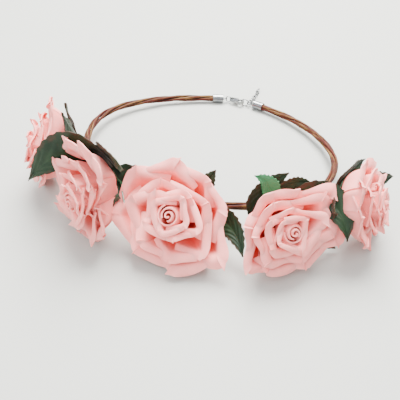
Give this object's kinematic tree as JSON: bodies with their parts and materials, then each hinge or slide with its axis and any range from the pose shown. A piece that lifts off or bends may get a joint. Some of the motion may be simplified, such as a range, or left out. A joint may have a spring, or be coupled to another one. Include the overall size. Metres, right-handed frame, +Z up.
{
  "type": "flower crown",
  "caption": "Flower crown: an oval band of leather cords round the head, with foam roses and fabric leaves across the front and a lobster clasp with an extender chain at the back.",
  "frame": {"origin": "bottom centre of the whole crown as it lies on a table", "axes": "+X from the first rose to the fifth, +Y from the roses to the clasp at the back, +Z up"},
  "size_m": [0.2571, 0.2405, 0.0827],
  "materials": {
    "petal_foam": "soft matt foam sheet",
    "leaf_fabric": "stiffened satin, brown along the edges",
    "leather_cord": "waxed, streaked",
    "silver_plate": "polished",
    "spring_steel": "drawn",
    "green_plastic": "moulded, satin",
    "stem_wire": "plastic-coated wire",
    "floral_tape": "crimped waxed paper"
  },
  "bodies": {
    "crown": {"band_cord_1": "leather_cord", "band_cord_2": "leather_cord", "band_cord_3": "leather_cord", "band_cord_4": "leather_cord", "end_cap_left": "silver_plate", "end_cap_right": "silver_plate", "rose_1_bud": "petal_foam", "rose_1_inner_petals": "petal_foam", "rose_1_middle_petals": "petal_foam", "rose_1_outer_petals": "petal_foam", "rose_1_calyx": "green_plastic", "rose_1_stem": "stem_wire", "rose_1_tape_wrap": "floral_tape", "rose_1_leaves": "leaf_fabric", "rose_2_bud": "petal_foam", "rose_2_inner_petals": "petal_foam", "rose_2_middle_petals": "petal_foam", "rose_2_outer_petals": "petal_foam", "rose_2_calyx": "green_plastic", "rose_2_stem": "stem_wire", "rose_2_tape_wrap": "floral_tape", "rose_2_leaves": "leaf_fabric", "rose_3_bud": "petal_foam", "rose_3_inner_petals": "petal_foam", "rose_3_middle_petals": "petal_foam", "rose_3_outer_petals": "petal_foam", "rose_3_calyx": "green_plastic", "rose_3_stem": "stem_wire", "rose_3_tape_wrap": "floral_tape", "rose_3_leaves": "leaf_fabric", "rose_4_bud": "petal_foam", "rose_4_inner_petals": "petal_foam", "rose_4_middle_petals": "petal_foam", "rose_4_outer_petals": "petal_foam", "rose_4_calyx": "green_plastic", "rose_4_stem": "stem_wire", "rose_4_tape_wrap": "floral_tape", "rose_4_leaves": "leaf_fabric", "rose_5_bud": "petal_foam", "rose_5_inner_petals": "petal_foam", "rose_5_middle_petals": "petal_foam", "rose_5_outer_petals": "petal_foam", "rose_5_calyx": "green_plastic", "rose_5_stem": "stem_wire", "rose_5_tape_wrap": "floral_tape", "rose_5_leaves": "leaf_fabric"},
    "jump_ring_left": {"jump_ring_left": "silver_plate"},
    "clasp": {"clasp_body": "silver_plate", "clasp_pin": "spring_steel", "clasp_spring": "spring_steel"},
    "clasp_lever": {"clasp_lever": "silver_plate"},
    "jump_ring_claw": {"jump_ring_claw": "silver_plate"},
    "jump_ring_right": {"jump_ring_right": "silver_plate"},
    "extender_link_1": {"extender_link_1": "silver_plate"},
    "extender_link_2": {"extender_link_2": "silver_plate"},
    "extender_link_3": {"extender_link_3": "silver_plate"},
    "extender_link_4": {"extender_link_4": "silver_plate"},
    "extender_link_5": {"extender_link_5": "silver_plate"},
    "extender_link_6": {"extender_link_6": "silver_plate"}
  },
  "joints": [
    {"name": "left_ring_swing", "type": "hinge", "parent": "crown", "child": "jump_ring_left", "pos_m": [-0.02085, 0.09075, 0.0035], "axis": [0, 0, 1], "range_deg": [-1.5, 1.5]},
    {"name": "clasp_swing", "type": "hinge", "parent": "jump_ring_left", "child": "clasp", "pos_m": [-0.0158, 0.0913, 0.0035], "axis": [0, 0, 1], "range_deg": [-1, 1]},
    {"name": "clasp_lever_open", "type": "hinge", "parent": "clasp", "child": "clasp_lever", "pos_m": [-0.01056, 0.09207, 0.0035], "axis": [0, 0, -1], "range_deg": [0, 12], "stiffness_Nm_per_rad": 0.0002, "springref_deg": -5.73},
    {"name": "right_ring_swing", "type": "hinge", "parent": "crown", "child": "jump_ring_right", "pos_m": [0.0035, 0.0905, 0.0035], "axis": [0, 0, 1], "range_deg": [-1.5, 1.5]},
    {"name": "claw_ring_swing", "type": "hinge", "parent": "jump_ring_right", "child": "jump_ring_claw", "pos_m": [0.0004, 0.0902, 0.0035], "axis": [0, 0, 1], "range_deg": [-1.5, 1.5]},
    {"name": "chain_swing_1", "type": "hinge", "parent": "jump_ring_right", "child": "extender_link_1", "pos_m": [0.00115, 0.0913, 0.00375], "axis": [0, 0, 1], "range_deg": [-8, 8]},
    {"name": "chain_swing_2", "type": "hinge", "parent": "extender_link_1", "child": "extender_link_2", "pos_m": [0.0013, 0.09572, 0.0022], "axis": [0, 0, 1], "range_deg": [-8, 8]},
    {"name": "chain_swing_3", "type": "hinge", "parent": "extender_link_2", "child": "extender_link_3", "pos_m": [0.00179, 0.10035, 0.00158], "axis": [0, 0, 1], "range_deg": [-8, 8]},
    {"name": "chain_swing_4", "type": "hinge", "parent": "extender_link_3", "child": "extender_link_4", "pos_m": [0.0026, 0.10497, 0.00148], "axis": [0, 0, 1], "range_deg": [-8, 8]},
    {"name": "chain_swing_5", "type": "hinge", "parent": "extender_link_4", "child": "extender_link_5", "pos_m": [0.00309, 0.10963, 0.00146], "axis": [0, 0, 1], "range_deg": [-8, 8]},
    {"name": "chain_swing_6", "type": "hinge", "parent": "extender_link_5", "child": "extender_link_6", "pos_m": [0.00309, 0.11432, 0.00146], "axis": [0, 0, 1], "range_deg": [-8, 8]}
  ]
}
